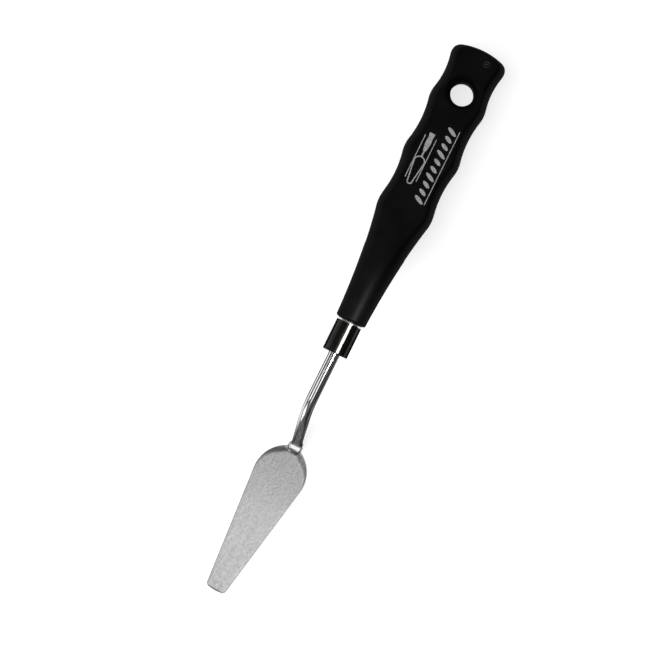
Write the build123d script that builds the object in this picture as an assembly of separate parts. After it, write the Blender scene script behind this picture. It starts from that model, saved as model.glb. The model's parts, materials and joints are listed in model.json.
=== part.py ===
from build123d import *

"""A small cranked painting knife: moulded grip, plated ferrule, bent steel shank and trowel blade.

Units are millimetres and degrees. The knife lies on a table, as it is put down between strokes:
+X runs along the knife to the blade's tip, +Z is up, and the table is the plane Z = 0. The blade's
flat underside and the rear end of the grip's lower flat touch the table. While it is built, X is
measured from the butt. At the end everything is shifted so that the origin is in the middle of the
footprint.
"""

import os
from copy import copy
from math import cos, radians, sin, sqrt, tan

# Grip, measured along its own axis from the butt. It is turned first and then flattened.
grip_length = 106.6
butt_dome_radius = 26.0
butt_corner = (2.4, 11.2)                # where the dome and the first groove would meet: along, radius
butt_corner_round = 5.0
groove_floors = [(12.3, 9.38), (31.4, 9.3), (52.6, 9.25)]
ridges = [(20.9, 10.8), (41.7, 10.75), (62.6, 10.52)]    # sharp crests, before they are rounded
ridge_round = 10.0
taper_middle = (70.0, 9.12)
taper_end = (79.0, 7.8)                 # from here a flatter hollow arc runs out to the nose
nose_radius = 5.65
nose_round = 0.9
flat_height = 6.9                        # from the axis to each of the two flats
flat_edge_round = 1.0

# Hanging hole through the flats, with a dished mouth on each side.
hole_along = 17.4
hole_radius = 4.2
dish_rim = (6.6, 0.0)                    # the dish's rolled wall: radius, height above the flat
dish_middle = (5.05, -1.0)
dish_floor = (4.2, -2.6)
dish_run_out = (7.2, 0.15)               # carries the same curve clear of the flat

# Ring and pip left by the moulding gate, on the upper flat near the butt.
gate_along = 4.4
gate_side = 3.1
gate_ring_radius = 1.1
gate_ring_width = 0.3
gate_pip_radius = 0.35
gate_depth = 0.15

# Ferrule: a plated tube pressed over the grip's spigot, its rear edge turned in.
ferrule_length = 12.5
ferrule_radius = 4.7
ferrule_wall = 0.45
turned_edge_length = 0.9
turned_edge_drop = 0.3
spigot_recess = 0.5                      # how far the spigot stops short of the ferrule's mouth

# Shank: a round rod, bonded into the grip, cranked twice and forged flat where it meets the blade.
shank_radius = 2.05
tang_end = 70.0
bore_radius = 2.8
bore_end_gap = 1.0
bond_recess = 0.3                        # the bonding resin stops this far inside the bore
paddle_length = 12.0
paddle_width = 5.0
paddle_thickness = 2.4
paddle_overlap = 1.5                     # of the round rod into the paddle
crank_along = 141.4                      # where the lines of the grip and of the slope would cross
crank_bend_radius = 14.0
foot_back = 1.6                          # from the foot of the slope to the blade's shoulders
foot_ahead = 1.0                         # how far the foot reaches past the start of the shoulders
foot_half_width = 2.4
foot_height = 1.9
forging_length = 5.5                     # of the slope, over which the round rod becomes flat
round_share = 0.35                       # of the forging length, which stays nearly round
round_flattening = 0.95                  # height of the section there, against the round rod
heel_fullness = 1.2                      # height of the section at the bend, against the flat foot
settling_length = 1.2                    # past the bend, where the foot is nearly at its height
settling_fullness = 1.05
nose_plan_radius = 2.7

# Blade: spring steel, ground thinner towards the tip. Its lengths start at the shoulders.
blade_length = 57.7
blade_taper = 7.25                       # each straight edge to the midline
shoulder_radius = 12.1
shoulder_along = 10.9                    # centre of the shoulder arcs
shoulder_past_middle = 2.65              # each arc's centre lies this far across the midline
shoulder_middle_turn = 26.0              # a point half way round each arc, back from the widest place
tip_bulge = 0.3
tip_corner_round = 1.25
heel_thickness = 0.95
tip_thickness = 0.5
tongue_length = 3.2                      # heel hidden under the shank's foot
tongue_half_width = 2.2
bevel_centre = 12.1                      # the rolled bevel of the shoulders is turned about this point
bevel_inner_radius = 9.6
bevel_width = 2.5
bevel_drop = 0.45

# Weld bead round the foot.
weld_overhang = 0.55
weld_height = 0.7

# Place of the blade against the grip. The neck has a slight set to one side.
grip_pitch = 1.5                         # the grip rises towards the ferrule by this much
heel_along = 155.9
heel_side = 2.15
blade_yaw = -3.2

tongue_top = heel_thickness - bevel_drop
spigot_radius = ferrule_radius - ferrule_wall
spigot_end = grip_length + ferrule_length - spigot_recess
crown_height = 12.0                      # taller than anything that is cut or kept with it
through_height = 2 * crown_height        # the same to both sides of the table plane or of the grip's axis
forging_span = 3 * forging_length        # longer than the forging with its foot
overrun = 1.0                            # how far a cutting shape runs past the blade's tip

# The lower flat meets the rounded butt this far along, and that line rests on the table.
flat_rear = 1.7
pitch = radians(grip_pitch)
grip_frame = Location((0, 0, flat_height * cos(pitch) - flat_rear * sin(pitch)), (0, -grip_pitch, 0))
blade_frame = Location((heel_along, heel_side, 0), (0, 0, blade_yaw))


def grip_profile():
    """Half of the grip's turned outline, with its spigot."""
    dome_x = butt_dome_radius - sqrt(butt_dome_radius**2 - butt_corner[1] ** 2)
    corner = (dome_x, butt_corner[1])
    dome_half = butt_dome_radius - sqrt(butt_dome_radius**2 - (butt_corner[1] / 2) ** 2)
    outline = ThreePointArc((0, 0), (dome_half, butt_corner[1] / 2), corner)
    start = corner
    for floor, ridge in zip(groove_floors, ridges):
        outline += ThreePointArc(start, floor, ridge)
        start = ridge
    steep = ThreePointArc(start, taper_middle, taper_end)
    outline += steep
    outline += TangentArc(taper_end, (grip_length, nose_radius), tangent=steep % 1)
    outline += Polyline(
        (grip_length, nose_radius),
        (grip_length, spigot_radius),
        (spigot_end, spigot_radius),
        (spigot_end, 0),
        (0, 0),
    )
    face = make_face(outline)
    for point, size in [(corner, butt_corner_round), ((grip_length, nose_radius), nose_round)]:
        face = fillet(face.vertices().sort_by_distance((*point, 0))[0], size)
    for ridge in ridges:
        face = fillet(face.vertices().sort_by_distance((*ridge, 0))[0], ridge_round)
    return face


def dish_tool():
    """The solid that is cut away for the dished mouth of the hanging hole, on the upper flat."""
    outline = ThreePointArc(dish_floor, dish_middle, dish_rim)
    outline += Polyline(
        dish_rim,
        dish_run_out,
        (dish_run_out[0], crown_height),
        (0, crown_height),
        (0, dish_floor[1]),
        dish_floor,
    )
    section = Plane.XZ * make_face(outline)
    return Pos(hole_along, 0, flat_height) * revolve(section, Axis.Z)


def make_grip():
    """The moulded handle: turned, flattened, dished and drilled for hanging, and bored for the tang."""
    turned = revolve(grip_profile(), Axis.X)
    slab = Pos(grip_length / 2, 0, 0) * Box(2 * grip_length, 4 * flat_height, 2 * flat_height)
    grip = turned & slab
    rims = grip.faces().sort_by(Axis.Z)
    grip = fillet(rims[0].edges() + rims[-1].edges(), flat_edge_round)
    grip -= dish_tool()
    grip -= mirror(dish_tool(), Plane.XY)
    grip -= Pos(hole_along, 0, 0) * Cylinder(hole_radius, through_height)
    bore_start = tang_end - bore_end_gap
    grip -= Pos(bore_start, 0, 0) * Rot(0, 90, 0) * Cylinder(
        bore_radius, spigot_end, align=(Align.CENTER, Align.CENTER, Align.MIN)
    )
    gate = Cylinder(gate_ring_radius, gate_depth) - Cylinder(gate_ring_radius - gate_ring_width, gate_depth)
    grip -= Pos(gate_along, gate_side, flat_height - gate_depth / 2) * gate
    return grip


def make_ferrule():
    """The plated tube over the spigot. Its rear edge is turned in against the grip."""
    rear = grip_length
    front = grip_length + ferrule_length
    turned_start = (rear, ferrule_radius - turned_edge_drop)
    turned_end = (rear + turned_edge_length, ferrule_radius)
    outline = TangentArc(turned_end, turned_start, tangent=(-1, 0))
    outline += Polyline(
        turned_start, (rear, spigot_radius), (front, spigot_radius), (front, ferrule_radius), turned_end
    )
    return revolve(make_face(outline), Axis.X)


def neck_section(origin, direction, half_width, half_height):
    """An oval section of the shank, level from side to side and square to its run."""
    across = Vector(0, 0, 1).cross(direction)
    return Plane(origin, x_dir=across, z_dir=direction) * Ellipse(half_width, half_height)


def make_shank(blade):
    """The steel rod, in the table frame: paddle, straight tang and neck, two bends and the flat foot."""
    foot_z = tongue_top + foot_height / 2
    rod_start = (grip_frame * Pos(tang_end + paddle_length - paddle_overlap, 0, 0)).position
    crank = (grip_frame * Pos(crank_along, 0, 0)).position
    corner = (blade_frame * Pos(-foot_back, 0, foot_z)).position
    ahead = (blade_frame * Pos(1, 0, 0)).position - blade_frame.position
    slope = (corner - crank).normalized()
    forging_start = corner - slope * forging_length
    rod_path = FilletPolyline(rod_start, crank, forging_start, radius=crank_bend_radius)
    rod = sweep(Plane(rod_path @ 0, z_dir=rod_path % 0) * Circle(shank_radius), path=rod_path)

    half_foot = foot_height / 2
    round_end = forging_start + slope * forging_length * round_share
    settled = corner + ahead * settling_length
    nose_end = corner + ahead * (foot_back + nose_plan_radius)
    forging = loft(
        [
            neck_section(forging_start, slope, shank_radius, shank_radius),
            neck_section(round_end, slope, shank_radius, shank_radius * round_flattening),
            neck_section(corner, (slope + ahead).normalized(), foot_half_width, half_foot * heel_fullness),
            neck_section(settled, ahead, foot_half_width, half_foot * settling_fullness),
            neck_section(nose_end, ahead, foot_half_width, half_foot),
        ]
    )
    nose_centre = foot_ahead - nose_plan_radius
    keep = Cylinder(nose_plan_radius, through_height)
    keep += Box(
        forging_span,
        2 * nose_plan_radius,
        through_height,
        align=(Align.MAX, Align.CENTER, Align.CENTER),
    )
    forging &= blade_frame * Pos(nose_centre, 0, 0) * keep
    below = Box(
        forging_span,
        4 * nose_plan_radius,
        crown_height,
        align=(Align.CENTER, Align.CENTER, Align.MAX),
    )
    forging -= blade_frame * Pos(0, 0, tongue_top) * below

    plate = Box(paddle_length, paddle_width, paddle_thickness)
    plate = fillet(plate.edges().filter_by(Axis.Z), paddle_thickness / 2)
    paddle = grip_frame * Pos(tang_end + paddle_length / 2, 0, 0) * plate
    return rod + forging + paddle - blade


def make_bond(shank):
    """The resin in the grip's bore, all round the tang."""
    length = spigot_end - bond_recess - (tang_end - bore_end_gap)
    filling = Rot(0, 90, 0) * Cylinder(bore_radius, length, align=(Align.CENTER, Align.CENTER, Align.MIN))
    return grip_frame * Pos(tang_end - bore_end_gap, 0, 0) * filling - shank


def blade_outline():
    """The blade seen from above: tongue, round shoulders, straight tapering edges and a blunt tip."""
    start_rise = sqrt(shoulder_radius**2 - (tongue_half_width + shoulder_past_middle) ** 2)
    shoulder_start = (shoulder_along - start_rise, tongue_half_width)
    turn = radians(blade_taper)
    edge_start = (
        shoulder_along + shoulder_radius * sin(turn),
        shoulder_radius * cos(turn) - shoulder_past_middle,
    )
    back = radians(shoulder_middle_turn)
    shoulder_middle = (
        shoulder_along - shoulder_radius * sin(back),
        shoulder_radius * cos(back) - shoulder_past_middle,
    )
    corner_along = blade_length - tip_bulge
    corner = (corner_along, edge_start[1] - (corner_along - edge_start[0]) * tan(turn))
    half = Polyline((-tongue_length, 0), (-tongue_length, tongue_half_width), shoulder_start)
    half += ThreePointArc(shoulder_start, shoulder_middle, edge_start)
    half += Line(edge_start, corner)
    outline = half + mirror(half, Plane.XZ)
    outline += ThreePointArc(corner, (blade_length, 0), (corner[0], -corner[1]))
    face = make_face(outline)
    corners = face.vertices().group_by(Axis.X)[-1]
    return fillet(corners, tip_corner_round)


def shoulder_pillow():
    """The flat top with a rolled rear rim that gives the shoulders their soft bevel."""
    rim = bevel_inner_radius + bevel_width
    outline = Polyline((0, 0), (0, heel_thickness), (bevel_inner_radius, heel_thickness))
    outline += TangentArc((bevel_inner_radius, heel_thickness), (rim, tongue_top), tangent=(1, 0))
    outline += Polyline((rim, tongue_top), (rim + crown_height, tongue_top), (rim + crown_height, 0), (0, 0))
    rolled = Pos(bevel_centre, 0, 0) * revolve(Plane.XZ * make_face(outline), Axis.Z)
    ahead = Pos(bevel_centre, 0, 0) * Box(
        blade_length, 2 * bevel_inner_radius, heel_thickness, align=(Align.MIN, Align.CENTER, Align.MIN)
    )
    return rolled + ahead


def make_blade():
    """The spring-steel blade in the table frame, its underside on the table."""
    blade = extrude(blade_outline(), heel_thickness) & shoulder_pillow()
    drop = heel_thickness - tip_thickness
    wedge = make_face(
        Polyline(
            (bevel_centre, heel_thickness),
            (blade_length, tip_thickness),
            (blade_length + overrun, tip_thickness - drop * overrun / (blade_length - bevel_centre)),
            (blade_length + overrun, crown_height),
            (bevel_centre, crown_height),
            (bevel_centre, heel_thickness),
        )
    )
    blade -= extrude(Plane.XZ * wedge, crown_height, both=True)
    return blade_frame * blade


def make_weld(shank, blade):
    """The small bead between the foot and the blade."""
    nose_centre = foot_ahead - nose_plan_radius
    bead = Cone(
        nose_plan_radius + weld_overhang,
        nose_plan_radius - weld_overhang,
        weld_height,
        align=(Align.CENTER, Align.CENTER, Align.MIN),
    )
    bead = Pos(nose_centre, 0, tongue_top) * bead
    bead &= extrude(blade_outline(), crown_height)
    return blade_frame * bead - shank - blade


def main():
    """Build every piece in the table frame, centre the footprint on the origin and write the files."""
    blade = make_blade()
    shank = make_shank(blade)
    pieces = {
        "grip": grip_frame * make_grip(),
        "ferrule": grip_frame * make_ferrule(),
        "tang_bond": make_bond(shank),
        "shank": shank,
        "neck_weld": make_weld(shank, blade),
        "blade": blade,
    }
    box = Compound(children=[copy(piece) for piece in pieces.values()]).bounding_box(optimal=True)
    to_origin = Pos(-box.center().X, -box.center().Y, -box.min.Z)
    os.makedirs("parts", exist_ok=True)
    for name, piece in pieces.items():
        solid = to_origin * piece
        solid.label = name
        export_step(solid, f"parts/{name}.step")


main()
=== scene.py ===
"""Looks of a small cranked painting knife: black moulded grip, plated ferrule, steel shank and blade.

Shapes are worked out in millimetres, in the grip's own frame or the blade's own frame, and then
placed in the shared frame, in metres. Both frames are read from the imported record's mounts.
"""

import json
import math

import bpy
import numpy as np
from mathutils import Matrix, Vector
from mathutils.geometry import delaunay_2d_cdt


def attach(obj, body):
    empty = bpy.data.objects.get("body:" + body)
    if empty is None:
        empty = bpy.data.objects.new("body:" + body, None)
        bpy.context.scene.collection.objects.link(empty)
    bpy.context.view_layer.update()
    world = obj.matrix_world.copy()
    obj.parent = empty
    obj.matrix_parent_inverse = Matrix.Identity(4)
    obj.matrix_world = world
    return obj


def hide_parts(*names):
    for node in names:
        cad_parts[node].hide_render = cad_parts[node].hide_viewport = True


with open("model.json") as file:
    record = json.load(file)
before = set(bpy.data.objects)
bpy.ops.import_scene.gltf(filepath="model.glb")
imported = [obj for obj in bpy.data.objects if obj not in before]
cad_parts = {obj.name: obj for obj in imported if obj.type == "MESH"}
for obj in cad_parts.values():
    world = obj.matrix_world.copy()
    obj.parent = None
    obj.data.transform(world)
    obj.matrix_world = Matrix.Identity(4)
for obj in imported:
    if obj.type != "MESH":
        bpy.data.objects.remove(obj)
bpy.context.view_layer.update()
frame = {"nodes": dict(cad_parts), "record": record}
MM = 0.001

# Grip, in its own frame: X along from the butt, Y to the side, Z out of the upper flat.
GRIP_LENGTH = 106.6
DOME_RADIUS = 26.0
BUTT_SOFTNESS = 4.0
# Finger grooves: middle, radius at the floor, hollow's radius.
GROOVES = [(12.3, 9.38, 27.0), (31.3, 9.3, 37.0), (52.4, 9.25, 37.0)]
# Lines of the tapering front: place along and radius at the start, slope, hollow's radius.
TAPER = ((70.0, 9.1), -0.183, 170.0)
NECK = ((79.0, 7.8), -0.127, 285.0)
CREST_SOFTNESS = 1.6
FLAT_HEIGHT = 6.9
FLAT_SOFTNESS = 0.75
NOSE_ROUND = 0.9
SPIGOT_RADIUS = 4.24
SPIGOT_END = 118.6
SPIGOT_ROUND = 0.3
BORE_RADIUS = 2.8
BORE_END = 69.0
BORE_MOUTH = 0.25  # chamfer of the bore's open end

# The grip's skin is traced by rays from its axis, in rings.
RING_POINTS = 120
BUTT_BASE = 8.0  # rays from this one point trace the domed end
BUTT_RINGS = 30
BODY_RINGS = 215
RAY_REACH = 20.0

# Hanging hole, with a rolled dish that is a little longer towards the butt.
HOLE_ALONG = 17.4
HOLE_RADIUS = 4.2
DISH_DEPTH = 2.6
DISH_REACH = 2.9
DISH_REACH_SWING = 0.35
DISH_MARGIN = 0.2  # from the dish's longest reach to its outermost ring
DISH_CURVE = 1.9  # power of the dish's wall: 1 is a cone, more is rounder
DISH_CLIMB = 4.0  # past its reach the dish's surface rises clear of the flat
DISH_SOFTNESS = 0.35
DISH_RINGS = 18
LIP_WIDTH = 0.25  # where the dish turns into the hole
LIP_STEP = 0.1
LIP_DROP = 0.3
WALL_TOP = 0.6  # of the hole's straight wall, below the dish's floor
WALL_RINGS = 6
PATCH_REACH = 8.4  # half the length of the window that the dish's patch fills
PATCH_RINGS = 10

FERRULE_LENGTH = 12.5
FERRULE_RADIUS = 4.7
FERRULE_WALL = 0.45
FERRULE_ROUND = 0.1
FERRULE_CHAMFER = 0.08  # of the front's inner edge; the rear's is a quarter of it
FERRULE_POINTS = 144
TURNED_DROP = 0.3
TURNED_EDGE = [  # the turned-in rear edge: place along, share of the drop
    (0.0, 1.0), (0.04, 0.8), (0.12, 0.68), (0.36, 0.42), (0.6, 0.16), (0.72, 0.04), (0.9, 0.0),
]

SHANK_RADIUS = 2.05
SHANK_STEP = 0.5
SHANK_POINTS = 64
TANG_END = 70.0
PADDLE_FADE = (10.0, 13.5)  # from the tang's end: the paddle turns into the round rod
PADDLE_HALF_WIDTH = 2.5
PADDLE_HALF_THICKNESS = 1.2
CRANK_ALONG = 141.4
CRANK_RADIUS = 14.0
TOE_RADIUS = 1.8  # of the second bend, into the foot
FOOT_BACK = 1.6
FOOT_AHEAD = 1.0
FOOT_HALF_WIDTH = 2.4
FOOT_HEIGHT = 1.9
FOOT_SINK = 0.02  # of the foot into the blade's upper face
FORGING_LENGTH = 5.5  # behind the foot, where the steel might touch the tongue
WAIST = 0.12

# Where the shank's section changes, measured back from the front of the foot.
FORGED = (FOOT_BACK + 0.2, 14.5)
FOOT_SPREAD = (2.0, 3.8)
WAIST_FADE = (8.0, 14.0)
FLANKS_FADE = (9.0, 17.0)
FOOT_FLANKS_FADE = (2.6, 5.0)
NOSE_LENGTH = 1.5  # of the foot's rounded front, seen from above
CROWN_LENGTH = 0.9  # and seen from the side

# Blade, in its own frame: X from the shoulders to the tip, Z up from the table.
REST_ALONG = 25.0  # where the record's blade_rest mount lies
BLADE_YAW = math.radians(-3.2)
BLADE_LENGTH = 57.7
BLADE_TAPER = math.radians(7.25)
SHOULDER_RADIUS = 12.1
SHOULDER_ALONG = 10.9
SHOULDER_PAST = 2.65  # how far the shoulder arc's centre lies past the middle line
TIP_BULGE = 0.5
TIP_CORNER = 1.6
HEEL_THICKNESS = 0.95
TIP_THICKNESS = 0.5
TONGUE_LENGTH = 3.2
TONGUE_HALF_WIDTH = 2.2
TONGUE_CORNER = 0.6
BEVEL_CENTRE = 12.1  # the shoulders' bevel is rolled about this place along
BEVEL_INNER = 8.7
BEVEL_WIDTH = 3.5
BEVEL_DROP = 0.45
BEVEL_SIDES = (1.2, 4.2)  # from the middle line: the bevel fades in between these
TOE_DIP = (0.8, 2.0)  # along: the heel's drop ends just ahead of the foot
TOE_DIP_SIDES = (2.0, 4.0)
EDGE_BEVEL = 1.9  # a faint hollow grind along the straight edges
EDGE_BEVEL_DROP = 0.045
EDGE_BEVEL_START = 8.0  # its fade-in, past the shoulders
TIP_BEVEL = 0.9
TIP_BEVEL_DROP = 0.09
EDGE_ROUND = 0.16
TONGUE_TOP = HEEL_THICKNESS - BEVEL_DROP

# The blade's mesh: rings inside its outline, then a grid that is finer over the shoulders.
RIM_OFFSETS = [0.0, 0.03, 0.07, 0.115, EDGE_ROUND, 0.3, 0.55]
GRID_CLEARANCE = 0.8
FINE_STEP = 0.32
FINE_END = 14.0
COARSE_STEP = 0.8

# Weld: a bead round the front of the foot.
WELD_REACH = 0.5
WELD_RISE = 0.62
WELD_SIDES = (1.2, 0.8, 0.4)  # how far the bead's ends run back along the foot's sides
WELD_SECTION = [  # shares of the reach and of the rise
    (-0.25, 1.0), (-0.05, 1.0), (0.15, 0.62), (0.4, 0.3),
    (0.7, 0.1), (1.0, 0.0), (1.0, -0.25), (-0.25, -0.25),
]
WELD_ROOT = 0.1  # the bead goes no deeper than this below the blade's face

# Print on the upper flat.
INK = 0.03  # the ink's lift over the surface, and its depth below it
THIN_LINE = 0.3
KNIFE_SIDE = -3.2  # Y of the printed knife's middle line

# View: straight down on the printed side, with the knife leaning across the picture.
LEAN = math.radians(26.24)
VIEW_CENTRE = (4.86, -7.74)
VIEW_WIDTH = 229.95
VIEW_DISTANCE = 1400.0
VIEW_HEIGHT = 7.0
SENSOR = 36.0

# Floor, in metres. It lies just under the knife, so that the two never share a plane.
FLOOR_REACH = 4.0
FLOOR_LEVEL = -0.02 * MM
FLOOR_GREY = 0.42
FLOOR_GLOW = 0.74

# Brightness of the studio.
ROOM = 0.18
ROOM_RIGHT = 0.1
CEILING = 1.1
WALL = 0.6
GLOW_RIGHT = 0.4  # added to the room's, low on the right

# Where the shank's look changes, in millimetres of the shared frame. Its colour carries painted light:
# painted shade past the bend and along the right edge, painted highlights on the left flank and on the foot,
# and painted reflections in the dark lines.
BEND_X = 29.0
LINES_END_X = 37.0  # the dark lines and the bright steel fade into the slope's painted shade from the bend to here
# The left flank's painted highlight fades out between these.
FLANK_X = (38.0, 44.0)
# The foot's painted highlight fades in between these.
FOOT_X = (47.2, 48.2)
SLOPE_TURN = 0.105  # sideways run of the sloping part for each millimetre of X
DIE_AND_REFLECTION_LINE_SCALE = 0.374  # of the band texture, for dark lines 0.84 mm apart: die lines painted dark as reflections


# Frames ----------------

def mount(name):
    return next(m for m in frame["record"]["mounts"] if m["name"] == name)


def frame_matrix(origin, along, up):
    """The matrix from local millimetres to the shared frame in metres."""
    along, up = Vector(along).normalized(), Vector(up).normalized()
    side = up.cross(along)
    place = Matrix((along, side, up)).transposed().to_4x4()
    place.translation = Vector(origin)
    return place @ Matrix.Scale(MM, 4)


def grip_matrix():
    """The grip's frame, from the hanging hole's mount: its axis is square to the flats."""
    hole = mount("hanging_hole")
    up = Vector(hole["axis"])
    along = Vector((up.z, 0.0, -up.x))
    return frame_matrix(Vector(hole["pos_m"]) - along * HOLE_ALONG * MM, along, up)


def blade_matrix():
    """The blade's frame, from the mount under it."""
    rest = mount("blade_rest")
    along = Vector((math.cos(BLADE_YAW), math.sin(BLADE_YAW), 0.0))
    return frame_matrix(Vector(rest["pos_m"]) - along * REST_ALONG * MM, along, (0, 0, 1))


GRIP = grip_matrix()
BLADE = blade_matrix()


def transformed(points, matrix):
    m = np.array(matrix)
    return np.asarray(points) @ m[:3, :3].T + m[:3, 3]


# Mesh helpers ----------------

def make_piece(name, points, faces, matrix, material, replaced=(), smooth=True):
    """A mesh piece from local points, riding on the knife and standing for its CAD nodes."""
    mesh = bpy.data.meshes.new(name)
    mesh.from_pydata(transformed(points, matrix).tolist(), [], faces)
    mesh.validate()
    mesh.polygons.foreach_set("use_smooth", [smooth] * len(mesh.polygons))
    mesh.materials.append(material)
    mesh.update()
    piece = bpy.data.objects.new(name, mesh)
    bpy.context.scene.collection.objects.link(piece)
    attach(piece, "root")
    if replaced:
        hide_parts(*replaced)
    return piece


def ease(value, low, high):
    """A smooth step from 0 at low to 1 at high."""
    share = np.clip((value - low) / (high - low), 0, 1)
    return share * share * (3 - 2 * share)


def smooth_min(a, b, softness):
    """The lesser of two fields, rounded where they cross."""
    overlap = np.maximum(softness - np.abs(a - b), 0.0)
    return np.minimum(a, b) - overlap**2 / (4 * softness)


def smooth_max(a, b, softness):
    return -smooth_min(-a, -b, softness)


def solve_outward(field, start, direction, reach):
    """How far along each direction the field turns positive, by halving."""
    low = np.zeros(len(direction))
    high = np.full(len(direction), float(reach))
    for _ in range(40):
        middle = (low + high) / 2
        inside = field(*(start + direction * middle[:, None]).T) < 0
        low = np.where(inside, middle, low)
        high = np.where(inside, high, middle)
    return (low + high) / 2


def full_turn(count):
    return np.linspace(0, 2 * math.pi, count, endpoint=False)


def circle_ring(x, radius, angles):
    return np.column_stack([np.full(len(angles), x), radius * np.cos(angles), radius * np.sin(angles)])


def ring_faces(count, first, second):
    """Quads between two closed rings of the same count, whose points start at first and second."""
    ahead = [(i + 1) % count for i in range(count)]
    return [(first + i, first + j, second + j, second + i) for i, j in enumerate(ahead)]


def fan(count, centre, first, backward=False):
    """Triangles between a centre point and a closed ring whose points start at first."""
    pairs = [(first + i, first + (i + 1) % count) for i in range(count)]
    return [(centre, b, a) if backward else (centre, a, b) for a, b in pairs]


def lathe(profile, count):
    """Points and faces of a closed profile turned about the X axis."""
    angles = full_turn(count)
    points = np.vstack([circle_ring(x, r, angles) for x, r in profile])
    faces = []
    for k in range(len(profile)):
        faces += ring_faces(count, k * count, ((k + 1) % len(profile)) * count)
    return points, faces


def joined(shapes):
    """Several shapes, each a pair of points and faces, as one."""
    points, faces, start = [], [], 0
    for part, part_faces in shapes:
        points.append(part)
        faces += [tuple(i + start for i in face) for face in part_faces]
        start += len(part)
    return np.vstack(points), faces


def right_of(ahead):
    """Unit vectors to the right of plan directions."""
    return np.column_stack([ahead[:, 1], -ahead[:, 0]]) / np.hypot(*ahead.T)[:, None]


def arc(centre, radius, start, end, count):
    """Points of an arc, with angles in radians from the first axis."""
    turn = np.linspace(start, end, count)
    return np.column_stack([centre[0] + radius * np.cos(turn), centre[1] + radius * np.sin(turn)])


# Grip ----------------

def hollow(x, middle, floor, radius):
    """A circular hollow in the turned outline: its radius from the axis at x."""
    across = np.clip(np.abs(x - middle), 0, radius * 0.98)
    return floor + radius - np.sqrt(radius**2 - across**2)


def bowed(x, start, slope, radius):
    """A shallow hollow line through a start point, as a parabola of the given radius."""
    run = x - start[0]
    return start[1] + slope * run + run**2 / (2 * radius)


def turned_radius(x):
    """The grip's radius along its axis: three finger grooves and a taper, with rounded crests."""
    radius = hollow(x, *GROOVES[0])
    for groove in GROOVES[1:]:
        radius = smooth_min(radius, hollow(x, *groove), CREST_SOFTNESS)
    neck_start = NECK[0][0]
    taper = np.where(x < neck_start, bowed(x, *TAPER), bowed(x, *NECK))
    return smooth_min(radius, taper, CREST_SOFTNESS)


def turned_field(x, y, z):
    """Negative inside the turned blank, which has a domed end."""
    off_axis = np.hypot(y, z)
    dome = np.hypot(np.minimum(x - DOME_RADIUS, 0), off_axis) - DOME_RADIUS
    return smooth_max(off_axis - turned_radius(x), dome, BUTT_SOFTNESS)


def grip_field(x, y, z):
    """Negative inside the grip: the turned blank between its two flats."""
    return smooth_max(turned_field(x, y, z), np.abs(z) - FLAT_HEIGHT, FLAT_SOFTNESS)


def upper_surface(x, y):
    """Height of the grip's upper side over points of its middle plane."""
    start = np.column_stack([x, y, np.zeros_like(x)])
    up = np.tile([0.0, 0.0, 1.0], (len(x), 1))
    return solve_outward(grip_field, start, up, FLAT_HEIGHT + 1)


def dish_height(distance, toward_butt):
    """Height of the dish's rolled wall at a distance from the hole's axis."""
    reach = DISH_REACH + DISH_REACH_SWING * toward_butt
    share = np.clip((distance - HOLE_RADIUS) / reach, 0.0, None)
    wall = FLAT_HEIGHT - DISH_DEPTH * np.clip(1 - share, 0, 1) ** DISH_CURVE
    return wall + DISH_CLIMB * np.maximum(share - 1, 0)


def hole_ring(away, distance, height):
    """A ring about the hanging hole's axis, with a point in each direction."""
    height = np.broadcast_to(height, len(away))
    return np.column_stack([HOLE_ALONG + away[:, 0] * distance, away[:, 1] * distance, height])


def dish_ring(away, distance):
    """A ring on the upper side, or on the dish where that is lower."""
    ring = hole_ring(away, distance, 0.0)
    upper = upper_surface(ring[:, 0], ring[:, 1])
    ring[:, 2] = smooth_min(upper, dish_height(distance, -away[:, 0]), DISH_SOFTNESS)
    return ring


def patch_rings(edge):
    """Rings from the patch's edge over the dish and its lip to the middle of the hole."""
    offset = edge[:, :2] - [HOLE_ALONG, 0.0]
    start = np.hypot(*offset.T)
    away = offset / start[:, None]
    # The powers crowd the dish's rings towards its lip, and the others towards the patch's edge.
    shares = np.linspace(0, 1, DISH_RINGS + 1)[1:]
    reach = DISH_REACH + DISH_REACH_SWING + DISH_MARGIN
    dish = HOLE_RADIUS + LIP_WIDTH + reach * (1 - shares) ** 1.15
    approach = np.linspace(0, 1, PATCH_RINGS + 2)[1:-1] ** 1.4
    rings = [dish_ring(away, start * (1 - share) + dish[0] * share) for share in approach]
    rings += [dish_ring(away, np.full(len(start), distance)) for distance in dish]
    floor = FLAT_HEIGHT - DISH_DEPTH
    for angle in np.radians([20, 45, 70, 90]):
        height = floor - LIP_STEP - LIP_DROP * (1 - math.cos(angle))
        rings.append(hole_ring(away, HOLE_RADIUS + LIP_WIDTH * (1 - math.sin(angle)), height))
    for height in np.linspace(floor - WALL_TOP, 0, WALL_RINGS):
        rings.append(hole_ring(away, HOLE_RADIUS, height))
    return rings


def traced_ring(x, directions):
    """Where rays from the point at x on the axis leave the grip."""
    start = np.tile([x, 0.0, 0.0], (len(directions), 1))
    return start + directions * solve_outward(grip_field, start, directions, RAY_REACH)[:, None]


def skin_rings(angles):
    """Rings over the outside, from the butt to the start of the rounded nose."""
    tilts = np.radians(np.linspace(177, 90, BUTT_RINGS))
    rings = [traced_ring(BUTT_BASE, circle_ring(math.cos(t), math.sin(t), angles)) for t in tilts]
    across = circle_ring(0.0, 1.0, angles)
    places = np.linspace(BUTT_BASE, GRIP_LENGTH - NOSE_ROUND, BODY_RINGS + 1)[1:]
    return rings + [traced_ring(x, across) for x in places]


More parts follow.
